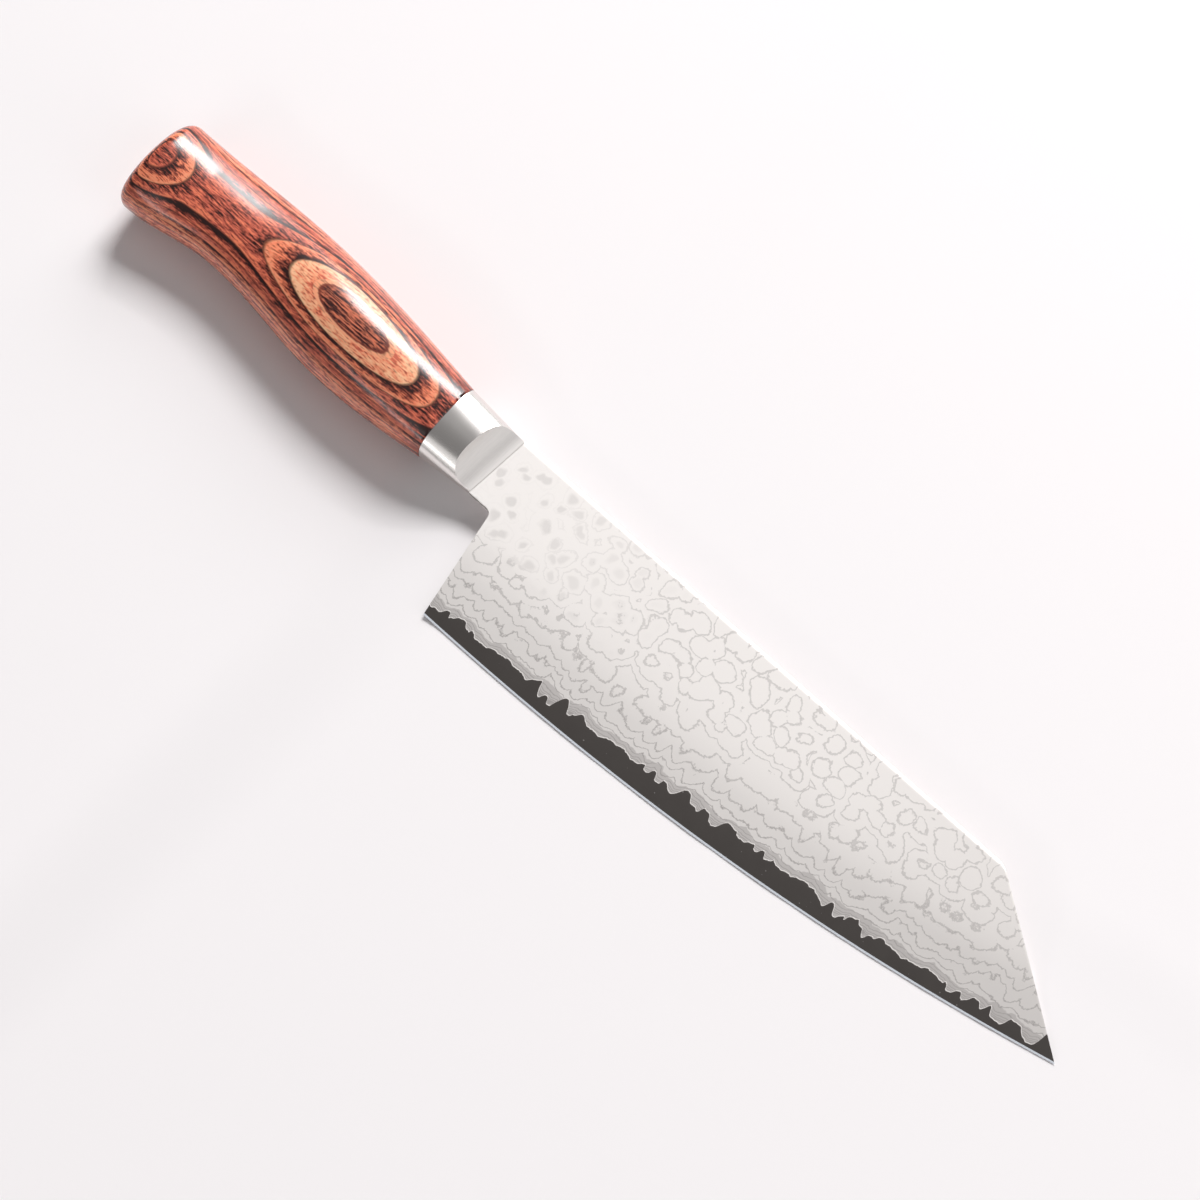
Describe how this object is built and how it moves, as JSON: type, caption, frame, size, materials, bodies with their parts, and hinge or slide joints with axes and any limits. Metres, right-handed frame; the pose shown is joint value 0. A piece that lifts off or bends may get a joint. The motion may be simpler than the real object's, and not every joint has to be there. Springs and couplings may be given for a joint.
{
  "type": "bunka knife",
  "caption": "Kitchen knife with a tall flat blade and clipped nose, patterned laminated steel, a polished bolster and a contoured handle of dyed wood veneers.",
  "frame": {"origin": "under the middle of the knife, on the surface that it lies on", "axes": "+X from the handle to the tip, +Y from the cutting edge to the spine, +Z out of the upper side of the blade"},
  "size_m": [0.3098, 0.0542, 0.0206],
  "materials": {
    "core_steel": "dark mirror-polished hard steel with a bright final bevel",
    "pattern_steel": "pale etched steel with grey wavy layer lines and round spots",
    "bolster_steel": "polished barrel with a satin hollow on each side",
    "epoxy": "cured epoxy, hidden inside the handle",
    "dark_veneer": "dark brown dyed veneer under clear lacquer",
    "tan_veneer": "tan dyed veneer under clear lacquer",
    "red_veneer": "red-brown dyed veneer under clear lacquer"
  },
  "bodies": {
    "root": {"core_plate": "core_steel", "upper_cladding": "pattern_steel", "lower_cladding": "pattern_steel", "bolster": "bolster_steel", "tang_bedding": "epoxy", "veneer_01_belly": "dark_veneer", "veneer_02_belly": "tan_veneer", "veneer_02_butt": "tan_veneer", "veneer_03_belly": "red_veneer", "veneer_03_butt": "red_veneer", "veneer_04": "red_veneer", "veneer_05": "red_veneer", "veneer_06": "dark_veneer", "veneer_07": "tan_veneer", "veneer_08": "red_veneer", "veneer_09": "red_veneer", "veneer_10": "red_veneer", "veneer_11": "dark_veneer", "veneer_12": "red_veneer", "veneer_13": "red_veneer", "veneer_14": "red_veneer", "veneer_15": "tan_veneer", "veneer_16": "dark_veneer", "veneer_17": "red_veneer", "veneer_18": "red_veneer", "veneer_19_belly": "red_veneer", "veneer_19_butt": "red_veneer", "veneer_20_belly": "tan_veneer", "veneer_20_butt": "tan_veneer", "veneer_21_belly": "dark_veneer"}
  },
  "joints": []
}
